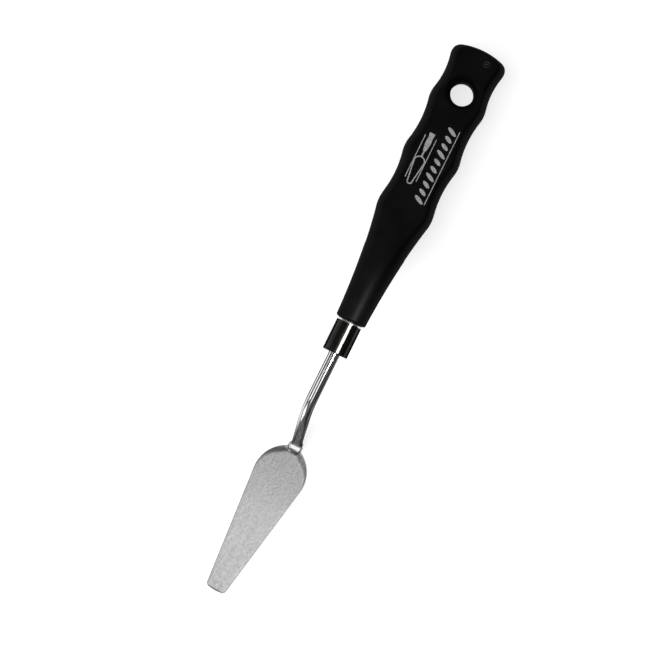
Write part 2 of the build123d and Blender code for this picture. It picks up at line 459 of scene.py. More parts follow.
def front_outline():
    """The outline of the nose, spigot and bore. Points beside an edge keep the shading crisp there."""
    nose_start = GRIP_LENGTH - NOSE_ROUND
    nose = float(turned_radius(nose_start))
    outline = []
    for angle in np.radians(np.linspace(12, 90, 7)):
        along = nose_start + NOSE_ROUND * math.sin(angle)
        outline.append((along, nose - NOSE_ROUND * (1 - math.cos(angle))))
    outline += [(GRIP_LENGTH, SPIGOT_RADIUS + 0.3), (GRIP_LENGTH, SPIGOT_RADIUS)]
    outline += [(GRIP_LENGTH + 0.1, SPIGOT_RADIUS), (SPIGOT_END - SPIGOT_ROUND, SPIGOT_RADIUS)]
    outline += [(SPIGOT_END - 0.08, SPIGOT_RADIUS - 0.07), (SPIGOT_END, SPIGOT_RADIUS - SPIGOT_ROUND)]
    outline += [(SPIGOT_END, BORE_RADIUS + BORE_MOUTH), (SPIGOT_END - 0.2, BORE_RADIUS)]
    outline += [(SPIGOT_END - 2.0, BORE_RADIUS), (BORE_END, BORE_RADIUS), (BORE_END, 0.4)]
    return outline


def hole_window(rings):
    """The window for the patch: its first and last ring, its first and last point."""
    body = range(BUTT_RINGS, BUTT_RINGS + BODY_RINGS)
    within = [k for k in body if abs(rings[k][0, 0] - HOLE_ALONG) < PATCH_REACH]
    side = RING_POINTS // 10
    return within[0], within[-1], side, RING_POINTS // 2 - side


def window_loop(first, last, near, far):
    """The window's edge, as pairs of a ring and a point on it."""
    loop = [(k, near) for k in range(first, last)] + [(last, i) for i in range(near, far)]
    loop += [(k, far) for k in range(last, first, -1)]
    return loop + [(first, i) for i in range(far, near, -1)]


def skin_faces(ring_count, first, last, near, far):
    """Faces between the grip's rings, except at the window in each flat."""
    faces = []
    for k in range(ring_count - 1):
        for i, face in enumerate(ring_faces(RING_POINTS, k * RING_POINTS, (k + 1) * RING_POINTS)):
            below = RING_POINTS - 1 - i
            cut = first <= k < last and (near <= i < far or near <= below < far)
            if not cut:
                faces.append(face)
    return faces


def patch_faces(edge, starts, flip):
    """Faces from the window's edge inward, over rings whose points start at starts."""
    faces = []
    size = len(edge)
    for start in starts:
        ring = range(start, start + size)
        for i in range(size):
            j = (i + 1) % size
            quad = (edge[i], edge[j], ring[j], ring[i])
            faces.append(quad[::-1] if flip else quad)
        edge = ring
    return faces


def make_grip(material):
    """A traced skin, with a patch in each flat. The two patches meet in the hanging hole."""
    angles = full_turn(RING_POINTS)
    rings = skin_rings(angles) + [circle_ring(x, r, angles) for x, r in front_outline()]
    window = hole_window(rings)
    faces = skin_faces(len(rings), *window)
    total = len(rings) * RING_POINTS
    butt, bore = (rings[0][:, 0].min(), 0, 0), (BORE_END, 0, 0)
    faces += fan(RING_POINTS, total, 0, backward=True)
    faces += fan(RING_POINTS, total + 1, total - RING_POINTS)

    loop = window_loop(*window)
    patch = patch_rings(np.array([rings[k][i] for k, i in loop]))
    points = np.vstack([*rings, butt, bore, *patch, *(ring * [1, 1, -1] for ring in patch[:-1])])
    upper = [total + 2 + k * len(loop) for k in range(len(patch))]
    lower = [upper[-1] + k * len(loop) for k in range(1, len(patch))] + upper[-1:]
    for sign, starts in ((1, upper), (-1, lower)):
        edge = [k * RING_POINTS + (sign * i) % RING_POINTS for k, i in loop]
        faces += patch_faces(edge, starts, flip=sign > 0)
    return make_piece("grip_body", points, faces, GRIP, material, ["grip"])


# Ferrule ----------------

def ferrule_profile():
    """The closed outline, as places along and radii, from the turned-in rear edge."""
    rear, front = GRIP_LENGTH, GRIP_LENGTH + FERRULE_LENGTH
    inner = FERRULE_RADIUS - FERRULE_WALL
    profile = [(rear + along, FERRULE_RADIUS - TURNED_DROP * drop) for along, drop in TURNED_EDGE]
    profile += [(x, FERRULE_RADIUS) for x in np.linspace(rear + 1.2, front - 2 * FERRULE_ROUND, 12)]
    for angle in np.radians([0, 30, 60, 90]):
        along = front - FERRULE_ROUND + FERRULE_ROUND * math.sin(angle)
        profile.append((along, FERRULE_RADIUS - FERRULE_ROUND * (1 - math.cos(angle))))
    profile += [(front, inner + FERRULE_CHAMFER), (front - FERRULE_CHAMFER, inner)]
    profile.append((rear + FERRULE_CHAMFER / 4, inner))
    return profile


def make_ferrule(material, edge_material):
    """A thin tube, with the second material, a painted highlight, on its turned-in rear edge."""
    points, faces = lathe(ferrule_profile(), FERRULE_POINTS)
    piece = make_piece("ferrule_tube", points, faces, GRIP, material, ["ferrule"])
    piece.data.materials.append(edge_material)
    for face in range(FERRULE_POINTS * (len(TURNED_EDGE) - 1)):
        piece.data.polygons[face].material_index = 1
    return piece


# Blade ----------------

def rounded_corner(corner, back, on, radius, count):
    """The arc that rounds a corner between the directions back and on, both leading away."""
    back, on = np.array(back) / np.hypot(*back), np.array(on) / np.hypot(*on)
    half = math.acos(float(back @ on)) / 2
    centre = np.array(corner) + (back + on) / np.linalg.norm(back + on) * radius / math.sin(half)
    first = np.array(corner) + back * radius / math.tan(half) - centre
    last = np.array(corner) + on * radius / math.tan(half) - centre
    start, end = math.atan2(first[1], first[0]), math.atan2(last[1], last[0])
    end = start + (end - start + math.pi) % (2 * math.pi) - math.pi
    return arc(centre, radius, start, end, count)


def blade_tip(edge_start):
    """The tip's rounded corner and bowed end, for an edge that starts at the shoulder."""
    along = BLADE_LENGTH - TIP_BULGE
    half_width = edge_start[1] - (along - edge_start[0]) * math.tan(BLADE_TAPER)
    radius = (half_width**2 + TIP_BULGE**2) / (2 * TIP_BULGE)
    lean = math.asin(half_width / radius)
    back = (-math.cos(BLADE_TAPER), math.sin(BLADE_TAPER))
    on = (math.sin(lean), -math.cos(lean))
    corner = rounded_corner((along, half_width), back, on, TIP_CORNER, 12)
    start = math.asin(corner[-1][1] / radius)
    return np.vstack([corner, arc((BLADE_LENGTH - radius, 0), radius, start, 0, 8)[1:]])


def blade_outline():
    """The blade's closed outline from above, clockwise from the middle of the tongue's end."""
    tongue = rounded_corner((-TONGUE_LENGTH, TONGUE_HALF_WIDTH), (0, -1), (1, 0), TONGUE_CORNER, 7)
    neck = np.column_stack([np.linspace(-2.2, -0.5, 5), np.full(5, TONGUE_HALF_WIDTH)])
    heel = math.pi - math.asin((TONGUE_HALF_WIDTH + SHOULDER_PAST) / SHOULDER_RADIUS)
    centre = (SHOULDER_ALONG, -SHOULDER_PAST)
    shoulder = arc(centre, SHOULDER_RADIUS, heel, math.pi / 2 - BLADE_TAPER, 44)
    tip = blade_tip(shoulder[-1])
    edge = shoulder[-1] + (tip[0] - shoulder[-1]) * np.linspace(0, 1, 52)[1:-1, None]
    half = np.vstack([[(-TONGUE_LENGTH, 0.0)], tongue, neck, shoulder, edge, tip])
    return np.vstack([half, half[1:-1][::-1] * [1, -1]])


def inward(outline, distance):
    """The outline moved inward by a small distance."""
    ahead = np.roll(outline, -1, axis=0) - np.roll(outline, 1, axis=0)
    return outline + right_of(ahead) * distance


def distance_to(outline, points):
    """Least distance from each point to the closed outline, and whether the point is inside."""
    a, b = outline, np.roll(outline, -1, axis=0)
    run = b - a
    offset = points[:, None, :] - a[None]
    share = np.clip((offset * run).sum(-1) / (run**2).sum(-1), 0, 1)
    distance = np.linalg.norm(offset - share[..., None] * run, axis=-1).min(1)
    above = (a[None, :, 1] > points[:, None, 1]) != (b[None, :, 1] > points[:, None, 1])
    slope = np.where(np.abs(run[:, 1]) < 1e-12, 1e-12, run[:, 1])
    crossing = a[:, 0] + (points[:, None, 1] - a[:, 1]) * run[:, 0] / slope
    inside = (above & (points[:, None, 0] < crossing)).sum(1) % 2 == 1
    return distance, inside


def blade_top(x, y):
    """Height of the blade's upper face: ground thinner to the tip, with rolled shoulders."""
    taper = np.clip((x - BEVEL_CENTRE) / (BLADE_LENGTH - BEVEL_CENTRE), 0, 1)
    height = HEEL_THICKNESS - (HEEL_THICKNESS - TIP_THICKNESS) * taper
    edge = SHOULDER_RADIUS - SHOULDER_PAST - np.maximum(x - BEVEL_CENTRE, 0) * math.tan(BLADE_TAPER)
    past_shoulders = ease(x, BEVEL_CENTRE, BEVEL_CENTRE + EDGE_BEVEL_START)
    from_edge = np.clip((np.abs(y) - edge) / EDGE_BEVEL + 1, 0, 1) * past_shoulders
    from_tip = np.clip((x - BLADE_LENGTH) / TIP_BEVEL + 1, 0, 1)
    height = height - EDGE_BEVEL_DROP * from_edge**2 - TIP_BEVEL_DROP * from_tip**2
    out = np.hypot(np.minimum(x - BEVEL_CENTRE, 0), y)
    shoulders = ease(out, BEVEL_INNER, BEVEL_INNER + BEVEL_WIDTH) * ease(np.abs(y), *BEVEL_SIDES)
    toe = (1 - ease(x, *TOE_DIP)) * (1 - ease(np.abs(y), *TOE_DIP_SIDES))
    return height - BEVEL_DROP * (1 - (1 - shoulders) * (1 - toe))


def blade_grid(outline):
    """Points inside the blade's outline, closer together over the shoulders."""
    fine = np.meshgrid(np.arange(-3, FINE_END, FINE_STEP), np.arange(-9, 9.1, FINE_STEP))
    coarse = np.meshgrid(np.arange(FINE_END, BLADE_LENGTH, COARSE_STEP), np.arange(-8.8, 8.9, COARSE_STEP))
    grid = np.vstack([np.column_stack([x.ravel(), y.ravel()]) for x, y in (fine, coarse)])
    distance, inside = distance_to(outline, grid)
    return grid[inside & (distance > GRID_CLEARANCE)]


def blade_plan(outline):
    """The blade's plan in triangles: its points, the triangles, and the rim's point numbers."""
    count = len(outline)
    plan = np.vstack([inward(outline, distance) for distance in RIM_OFFSETS] + [blade_grid(outline)])
    edges = [(i, (i + 1) % count) for i in range(count)]
    flat, _, triangles, originals, _, _ = delaunay_2d_cdt([Vector(p) for p in plan], edges, [], 1, 1e-6)
    where = {original: new for new, group in enumerate(originals) for original in group}
    return np.array([tuple(p) for p in flat]), triangles, [where[i] for i in range(count)]


def make_blade(material):
    """A thin sheet with a rounded rim: the plan on top and below, and a band between."""
    outline = blade_outline()
    flat, triangles, rim = blade_plan(outline)
    depth, _ = distance_to(outline, flat)
    depth[depth < 1e-4] = 0
    share = np.clip(1 - depth / EDGE_ROUND, 0, 1)
    roll = EDGE_ROUND * (1 - np.sqrt(1 - share**2))
    top = np.column_stack([flat, blade_top(*flat.T) - roll])
    bottom = np.column_stack([flat, roll])
    size = len(flat)
    faces = [tuple(t) for t in triangles] + [tuple(i + size for i in reversed(t)) for t in triangles]
    faces += [(a, b, b + size, a + size) for a, b in zip(rim, rim[1:] + rim[:1])]
    points = np.vstack([top, bottom])
    return make_piece("blade_sheet", points, faces, BLADE, material, ["blade"])


# Shank and weld ----------------

def shared_mm(matrix, point):
    return np.array(matrix @ Vector(point)) / MM


def bent_line(points, radii, step):
    """A centreline of straight runs joined by tangent arcs: positions and directions at even steps."""
    made, heading = [], []
    start = points[0]
    for corner, after, radius in zip(points[1:-1], points[2:], radii):
        into = (corner - start) / np.linalg.norm(corner - start)
        away = (after - corner) / np.linalg.norm(after - corner)
        turn = math.acos(float(into @ away))
        trim = radius * math.tan(turn / 2)
        run = np.linalg.norm(corner - start) - trim
        for share in np.linspace(0, 1, max(2, round(run / step)), endpoint=False):
            made.append(start + into * run * share)
            heading.append(into)
        enter = corner - into * trim
        inner = (away - into * float(into @ away)) / math.sin(turn)
        for angle in np.linspace(0, turn, max(6, round(radius * turn / step)), endpoint=False):
            made.append(enter + into * radius * math.sin(angle) + inner * radius * (1 - math.cos(angle)))
            heading.append(into * math.cos(angle) + inner * math.sin(angle))
        start = corner + away * trim
    run = np.linalg.norm(points[-1] - start)
    for share in np.linspace(0, 1, max(2, round(run / (step * 0.3)))):
        made.append(start + (points[-1] - start) * share)
        heading.append((points[-1] - start) / run)
    return np.array(made), np.array(heading)


def shank_line():
    """The shank's centreline, from the tang down the crank to the front of the foot."""
    height = TONGUE_TOP + FOOT_HEIGHT / 2
    corners = [
        shared_mm(GRIP, (TANG_END, 0, 0)),
        shared_mm(GRIP, (CRANK_ALONG, 0, 0)),
        shared_mm(BLADE, (-FOOT_BACK, 0, height)),
        shared_mm(BLADE, (FOOT_AHEAD, 0, height)),
    ]
    return bent_line(corners, [CRANK_RADIUS, TOE_RADIUS], SHANK_STEP)


def rounded_end(left, length, least):
    """The share of a section's size that remains where the front end is rounded."""
    return np.sqrt(np.clip(1 - np.clip((length - left) / length, 0, 1) ** 2, least, 1))


def shank_sections(run):
    """Half widths, half heights, exponents and crowns of the sections along the run."""
    left = run[-1] - run
    forged = 1 - ease(left, *FORGED)
    waist = WAIST * ease(left, *FOOT_SPREAD) * (1 - ease(left, *WAIST_FADE))
    spread = (FOOT_HALF_WIDTH - SHANK_RADIUS) * (1 - ease(left, *FOOT_SPREAD))
    half_width = SHANK_RADIUS + spread - waist
    half_height = SHANK_RADIUS + (FOOT_HEIGHT / 2 - SHANK_RADIUS) * forged
    flat = 0.4 * (1 - ease(left, *FLANKS_FADE)) + 0.6 * (1 - ease(left, *FOOT_FLANKS_FADE))
    pressed = 1 - ease(run, *PADDLE_FADE)
    half_width = half_width + (PADDLE_HALF_WIDTH - half_width) * pressed
    half_height = half_height + (PADDLE_HALF_THICKNESS - half_height) * pressed
    exponent = 2 + 0.7 * forged + 1.5 * pressed + 4.0 * flat
    nose = rounded_end(left, NOSE_LENGTH, 0.02)
    return half_width * nose, half_height, exponent, rounded_end(left, CROWN_LENGTH, 0.12)


def shank_ring(centre, heading, half_width, half_height, exponent, crown):
    """A section: an ellipse made squarer by the exponent, its upper half lowered by the crown."""
    angles = full_turn(SHANK_POINTS)
    cos, sin = np.cos(angles), np.sin(angles)
    side = np.cross([0, 0, 1], heading)
    side /= np.linalg.norm(side)
    up = np.cross(heading, side)
    across = np.sign(cos) * np.abs(cos) ** (2 / exponent) * half_width
    rise = np.sign(sin) * np.abs(sin) ** (2 / exponent) * half_height
    rise = np.where(sin > 0, rise * crown, rise)
    return centre + across[:, None] * side + rise[:, None] * up


def rest_on_blade(ring):
    """The ring, lifted where it would go below the blade's or the tongue's upper face."""
    local = transformed(ring * MM, BLADE.inverted())
    on_blade = local[:, 0] > -TONGUE_LENGTH
    floor = np.where(on_blade, blade_top(local[:, 0], local[:, 1]) - FOOT_SINK, TONGUE_TOP)
    ring[:, 2] = np.maximum(ring[:, 2], floor)
    return ring


def make_shank(material):
    """A round rod with a paddle at its hidden end and a flat foot at its front."""
    centres, headings = shank_line()
    steps = np.linalg.norm(np.diff(centres, axis=0), axis=1)
    run = np.concatenate([[0], np.cumsum(steps)])
    over_blade = run[-1] - run < FORGING_LENGTH + FOOT_BACK + FOOT_AHEAD
    rings = [shank_ring(*section) for section in zip(centres, headings, *shank_sections(run))]
    rings = [rest_on_blade(ring) if over else ring for ring, over in zip(rings, over_blade)]
    points = np.vstack([*rings, rings[0].mean(0), rings[-1].mean(0)])
    total = len(rings) * SHANK_POINTS
    faces = []
    for start in range(0, total - SHANK_POINTS, SHANK_POINTS):
        faces += ring_faces(SHANK_POINTS, start, start + SHANK_POINTS)
    faces += fan(SHANK_POINTS, total, 0, backward=True)
    faces += fan(SHANK_POINTS, total + 1, total - SHANK_POINTS)
    return make_piece("shank_rod", points, faces, Matrix.Scale(MM, 4), material, ["shank"])


def weld_contour():
    """The line round the front of the foot that the weld's bead follows."""
    centre = FOOT_AHEAD - NOSE_LENGTH
    turn = np.linspace(-math.pi / 2, math.pi / 2, 41)
    contour = [(centre - back, -FOOT_HALF_WIDTH) for back in WELD_SIDES]
    contour += [(centre + NOSE_LENGTH * math.cos(a), FOOT_HALF_WIDTH * math.sin(a)) for a in turn]
    contour += [(centre - back, FOOT_HALF_WIDTH) for back in reversed(WELD_SIDES)]
    return np.array(contour)


def make_weld(material):
    """A low hollow bead round the front of the foot, a little uneven, as hand welding leaves it."""
    rng = np.random.default_rng(11)
    contour = weld_contour()
    count = len(contour)
    outward = right_of(np.gradient(contour, axis=0))
    fade = np.sin(np.linspace(0.05, math.pi - 0.05, count)) ** 0.5
    wander = np.convolve(rng.normal(0, 1, count + 8), np.ones(9) / 9, "valid") * 0.25
    reach = (WELD_REACH + wander * 0.4) * fade
    rise = (WELD_RISE + wander * 0.3) * fade
    points = []
    for k in range(count):
        for out, up in WELD_SECTION:
            x, y = contour[k] + outward[k] * out * reach[k]
            base = float(blade_top(x, y))
            points.append((x, y, base + max(up * rise[k], -WELD_ROOT)))
    size = len(WELD_SECTION)
    faces = []
    for k in range(count - 1):
        faces += ring_faces(size, k * size, (k + 1) * size)
    faces += [tuple(reversed(range(size))), tuple(range(len(points) - size, len(points)))]
    return make_piece("weld_bead", points, faces, BLADE, material, ["neck_weld"])


# Marks on the upper flat ----------------

def make_gate_mark(material):
    """The raised ring and pip where the moulding gate was cut off."""
    place, radius = (4.4, 3.1, FLAT_HEIGHT), 0.86
    swell = [(0.04, 0), (0.13, 0.07), (0.16, 0.15), (0.13, 0.23), (0.02, 0.32), (-0.05, 0.32), (-0.05, 0)]
    pip = [(0.26, 0.03), (0.24, 0.16), (0.17, 0.3), (0.08, 0.38), (0, 0.42), (-0.05, 0.42), (-0.05, 0.03)]
    ring = [(height, radius + past) for height, past in swell]
    points, faces = joined([lathe(ring, 48), lathe(pip, 32)])
    upright = GRIP @ Matrix.Translation(place) @ Matrix.Rotation(-math.pi / 2, 4, "Y")
    return make_piece("gate_mark", points, faces, upright, material)


def on_flat(outline, lift):
    """Points of a plan outline laid on the grip's upper side, raised by lift."""
    outline = np.asarray(outline, float)
    return np.column_stack([outline, upper_surface(outline[:, 0], outline[:, 1]) + lift])


def inked_patch(outline):
    """A filled shape of ink: its points and faces."""
    size = len(outline)
    centre = np.mean(outline, axis=0)[None]
    top = on_flat(np.vstack([outline, centre]), INK)
    bottom = on_flat(np.vstack([outline, centre]), -INK)
    faces = []
    for i in range(size):
        j = (i + 1) % size
        low_i, low_j = size + 1 + i, size + 1 + j
        faces += [(i, j, size), (low_j, low_i, 2 * size + 1), (j, i, low_i, low_j)]
    return np.vstack([top, bottom]), faces


def inked_line(points, width, closed=False):
    """A line of ink of even width along a plan polyline: its points and faces."""
    points = np.asarray(points, float)
    if closed:
        ahead = np.roll(points, -1, axis=0) - np.roll(points, 1, axis=0)
    else:
        ahead = np.gradient(points, axis=0)
    right = right_of(ahead) * width / 2
    rails = [on_flat(points - right, INK), on_flat(points + right, INK)]
    rails += [on_flat(points + right, -INK), on_flat(points - right, -INK)]
    corners = np.stack(rails, axis=1).reshape(-1, 3)
    count = len(points)
    faces = []
    for k in range(count if closed else count - 1):
        faces += ring_faces(4, k * 4, ((k + 1) % count) * 4)
    if not closed:
        faces += [(3, 2, 1, 0), tuple(range(4 * count - 4, 4 * count))]
    return corners, faces


def ruled_line(span, side):
    return inked_line([(x, side) for x in np.linspace(*span)], THIN_LINE)


def both_sides(half):
    """A symmetrical outline about the printed knife's middle line, from places and half widths."""
    lower = [(x, KNIFE_SIDE - width) for x, width in half]
    return lower + [(x, KNIFE_SIDE + width) for x, width in reversed(half)]


def ellipse(centre, long_radius, short_radius, lean, count=20):
    """Points of an ellipse whose long axis leans from X."""
    turn = full_turn(count)
    x, y = long_radius * np.cos(turn), short_radius * np.sin(turn)
    c, s = math.cos(lean), math.sin(lean)
    return np.column_stack([centre[0] + c * x - s * y, centre[1] + s * x + c * y])


def printed_knife():
    """An outlined trowel blade with its neck and its solid handle, between two lines."""
    heel = arc((45.6, KNIFE_SIDE), 1.9, math.pi / 2, 3 * math.pi / 2, 15)
    tip = both_sides([(53.6, 0.8), (54.0, 0.5)])
    neck = [(x, KNIFE_SIDE) for x in (41.4, 42.4, 43.5)]
    handle = both_sides([(34.6, 1.1), (36.5, 0.85), (38.5, 1.0), (41.4, 0.6)])
    blade = inked_line(np.vstack([heel, tip]), 0.42, closed=True)
    borders = [ruled_line((36.0, 52.5, 12), KNIFE_SIDE + side) for side in (-2.15, 2.15)]
    return [blade, inked_line(neck, 0.55), inked_patch(np.array(handle)), *borders]


def printed_dabs():
    """A row of slanted paint dabs, every third one taller, with a line beside it."""
    first, pitch, side, half_width, lean = 31.2, 2.95, 2.65, 0.68, math.radians(62)
    shapes = []
    for number in range(10):
        half_length = 2.05 if number % 3 == 0 else 1.6
        shapes.append(inked_patch(ellipse((first + pitch * number, side), half_length, half_width, lean)))
    return shapes + [ruled_line((30.0, 58.6, 20), 5.15)]


def make_print(material):
    """A plain printed device without letters: a small knife and a row of dabs."""
    points, faces = joined(printed_knife() + printed_dabs())
    return make_piece("grip_print", points, faces, GRIP, material, smooth=False)


# Materials ----------------

def grey(level):
    return (level, level, level)


class Tree:
    """A node tree, with short calls for the nodes used here."""

    def __init__(self, tree):
        self.tree = tree

    def add(self, kind, inputs, **settings):
        """A new node, with its inputs given as plain values or as the sockets that feed them."""
        node = self.tree.nodes.new(kind)
        for key, value in settings.items():
            setattr(node, key, value)
        for key, value in inputs.items():
            self.feed(node.inputs[key], value)
        return node

    def feed(self, socket, value):
        """Sets an input to a value, or links it to an output."""
        if isinstance(value, bpy.types.NodeSocket):
            self.tree.links.new(value, socket)
        elif socket.type == "RGBA":
            socket.default_value = (*value, 1)
        else:
            socket.default_value = value

    def span(self, value, source, target=(0, 1)):
        """A value mapped smoothly from one range to another."""
        ends = dict(zip(("From Min", "From Max", "To Min", "To Max"), (*source, *target)))
        node = self.add("ShaderNodeMapRange", {"Value": value, **ends}, interpolation_type="SMOOTHSTEP")
        return node.outputs["Result"]

    def maths(self, operation, a, b):
        return self.add("ShaderNodeMath", {0: a, 1: b}, operation=operation).outputs["Value"]

    def mean(self, a, b, share=0.5):
        """A weighted mean: share of a, and the rest of b."""
        return self.maths("ADD", self.maths("MULTIPLY", a, share), self.maths("MULTIPLY", b, 1 - share))

    def axes(self, vector):
        """The three axes of a vector, as named outputs."""
        return self.add("ShaderNodeSeparateXYZ", {"Vector": vector}).outputs


class Surface(Tree):
    """A material's node tree round its one shader."""

    def __init__(self, name, **sockets):
        self.material = bpy.data.materials.new(name)
        self.material.use_nodes = True
        super().__init__(self.material.node_tree)
        self.shader = self.tree.nodes["Principled BSDF"].inputs
        for socket, value in sockets.items():
            self.feed(self.shader[socket.replace("_", " ")], value)

    def coordinates(self, scale=(1, 1, 1), turn=0.0):
        """Object coordinates in millimetres, turned about Z and stretched."""
        where = self.add("ShaderNodeTexCoord", {}).outputs["Object"]
        turning = {"Vector": where, "Rotation": (0, 0, turn), "Scale": (1 / MM, 1 / MM, 1 / MM)}
        turned = self.add("ShaderNodeMapping", turning).outputs["Vector"]
        return self.add("ShaderNodeMapping", {"Vector": turned, "Scale": scale}).outputs["Vector"]

    def noise(self, vector, scale, detail=3.0, roughness=0.55):
        settings = {"Vector": vector, "Scale": scale, "Detail": detail, "Roughness": roughness}
        return self.add("ShaderNodeTexNoise", settings).outputs["Fac"]

    def blend(self, share, first, second):
        """A colour between two others."""
        inputs = {"Factor": share, "A": first, "B": second}
        return self.add("ShaderNodeMix", inputs, data_type="RGBA").outputs["Result"]

    def finish(self, colour, roughness, layers):
        """The material, with stacked bump layers: (height, depth in millimetres, strength)."""
        below = {}
        for height, depth, strength in layers:
            inputs = {"Height": height, "Distance": depth * MM, "Strength": strength, **below}
            below = {"Normal": self.add("ShaderNodeBump", inputs).outputs["Normal"]}
        self.feed(self.shader["Normal"], below["Normal"])
        self.feed(self.shader["Coat Normal"], below["Normal"])
        self.feed(self.shader["Base Color"], colour)
        self.feed(self.shader["Roughness"], roughness)
        return self.material


def black_plastic():
    """Satin moulded plastic: a fine grain, faint cloudiness and a few rub marks."""
    s = Surface("black_plastic", Specular_IOR_Level=0.0, Coat_Weight=0.09, Coat_Roughness=0.42, Coat_IOR=1.5)
    plain = s.coordinates()
    grain = s.noise(plain, scale=5.0, detail=4, roughness=0.6)
    cloud = s.noise(plain, scale=0.12)
    rubs = s.noise(s.coordinates((0.12, 3.0, 3.0), math.radians(14)), scale=1.6, detail=2)
    colour = s.blend(s.span(cloud, (0.3, 0.7)), (0.0018, 0.0018, 0.0021), (0.0034, 0.0034, 0.0039))
    rough = s.span(s.mean(rubs, cloud), (0.35, 0.7), (0.38, 0.54))
    return s.finish(colour, rough, [(grain, 0.02, 0.5), (rubs, 0.01, 0.25)])


def scuffed_plastic():
    """The grip's plastic where the gate was cut off: rubbed and a little paler."""
    s = Surface("scuffed_plastic", Specular_IOR_Level=0.3)
    rub = s.noise(s.coordinates((1.0, 4.0, 1.0), math.radians(30)), scale=2.5)
    colour = s.blend(s.span(rub, (0.35, 0.65)), (0.01, 0.01, 0.011), (0.034, 0.034, 0.036))
    return s.finish(colour, s.span(rub, (0.3, 0.7), (0.35, 0.5)), [(rub, 0.02, 0.5)])


def plating():
    """Glossy plating over drawn tube, with hairlines along the tube, painted near-black as painted shade for
    the dark room it reflects.
    """
    s = Surface("ferrule_plating", Metallic=1.0, Specular_Tint=grey(0.1))
    lines = s.noise(s.coordinates((0.05, 9.0, 9.0)), scale=1.0)
    haze = s.noise(s.coordinates(), scale=0.5)
    # Painted shade: the plating's near-black colour.
    colour = s.blend(s.span(haze, (0.3, 0.7)), (0.034, 0.034, 0.032), (0.046, 0.045, 0.042))
    rough = s.span(s.maths("MULTIPLY", lines, haze), (0.1, 0.4), (0.07, 0.15))
    return s.finish(colour, rough, [(lines, 0.004, 0.3)])


def plating_painted_highlight():
    """The plating on the turned-in edge, painted much brighter than the tube as a painted highlight, with
    short turning marks.
    """
    s = Surface("plating_painted_highlight", Metallic=1.0)
    marks = s.noise(s.coordinates((6.0, 1.2, 1.2)), scale=1.0)
    colour = s.blend(s.span(marks, (0.35, 0.65)), (0.5, 0.5, 0.48), (0.8, 0.79, 0.76))
    return s.finish(colour, s.span(marks, (0.3, 0.7), (0.12, 0.24)), [(marks, 0.01, 0.3)])


def die_and_reflection_lines(s):
    """1 on the dark lines along the rod, die lines painted dark as reflections, and 0 between them."""
    inputs = {"Vector": s.coordinates((0.02, 1.0, 1.0)), "Scale": DIE_AND_REFLECTION_LINE_SCALE}
    inputs |= {"Distortion": 0.5, "Detail": 2.0, "Phase Offset": 4.02}
    bands = s.add("ShaderNodeTexWave", inputs, wave_type="BANDS", bands_direction="Y")
    return s.span(bands.outputs["Fac"], (0.25, 0.7), (1, 0))


def drawn_steel():
    """Steel rod: bright up to the bend, with dark lines that are die lines and painted reflections; past the
    bend painted shade, with painted highlights on the left flank and on the foot.
    """
    s = Surface("drawn_steel", Metallic=1.0, Specular_Tint=grey(0.15))
    fine = s.noise(s.coordinates((0.08, 12.0, 12.0)), scale=1.0)
    dents = s.noise(s.coordinates((0.5, 1.6, 1.0), math.radians(8)), scale=0.9, detail=2)
    axes = s.axes(s.coordinates())
    straight = s.span(axes["X"], (BEND_X, LINES_END_X), (1, 0))
    past_bend = s.maths("MAXIMUM", s.maths("SUBTRACT", axes["X"], BEND_X), 0.0)
    side = s.maths("SUBTRACT", axes["Y"], s.maths("MULTIPLY", past_bend, SLOPE_TURN))
    # A painted highlight on the left flank of the slope.
    flank_painted_highlight = s.maths("MULTIPLY", s.span(side, (-1.3, -0.6), (1, 0)), s.span(axes["X"], FLANK_X, (1, 0)))
    bright = s.blend(fine, (0.7, 0.7, 0.69), (0.92, 0.92, 0.91))
    # Past the bend the steel is painted darker: painted shade on the slope.
    slope_painted_shade = s.blend(s.span(dents, (0.35, 0.65)), (0.15, 0.15, 0.147), (0.24, 0.24, 0.235))
    colour = s.blend(s.maths("MAXIMUM", straight, flank_painted_highlight), slope_painted_shade, bright)
    # Painted shade along the right edge of the slope.
    colour = s.blend(s.span(side, (0.5, 1.2), (0, 0.8)), colour, grey(0.06))
    # A painted highlight over the foot's bend.
    colour = s.blend(s.span(axes["X"], FOOT_X), colour, (0.86, 0.86, 0.85))
    # Dark lines along the straight part: die lines, painted as dark reflections.
    colour = s.blend(s.maths("MULTIPLY", die_and_reflection_lines(s), straight), colour, grey(0.04))
    rough = s.span(fine, (0.3, 0.7), (0.14, 0.24))
    return s.finish(colour, rough, [(fine, 0.004, 0.2), (dents, 0.05, 0.35)])


def ground_steel():
    """Blade steel: ground lengthways with crossing diagonal scratches and a faint mottle, and painted shade
    darker towards the heel.
    """
    s = Surface("ground_steel", Metallic=1.0)
    lengthways = s.noise(s.coordinates((0.1, 7.0, 1.0), -BLADE_YAW), scale=1.0)
    diagonal = s.noise(s.coordinates((0.2, 5.0, 1.0), -BLADE_YAW + math.radians(38)), scale=1.0)
    mottle = s.noise(s.coordinates(), scale=1.1, detail=4, roughness=0.65)
    cloud = s.noise(s.coordinates(), scale=0.16, detail=2)
    grain = s.mean(lengthways, diagonal, 0.6)
    tone = s.mean(grain, mottle, 0.55)
    colour = s.blend(s.span(tone, (0.36, 0.64)), grey(0.42), grey(0.63))
    colour = s.blend(s.span(cloud, (0.35, 0.65), (0, 0.35)), colour, grey(0.5))
    # Painted shade, darker towards the heel.
    heel_painted_shade = s.span(s.axes(s.coordinates())["X"], (50.0, 85.0), (0.3, 0))
    colour = s.blend(heel_painted_shade, colour, grey(0.0))
    rough = s.span(tone, (0.35, 0.65), (0.24, 0.17))
    return s.finish(colour, rough, [(grain, 0.008, 0.25), (mottle, 0.012, 0.12)])


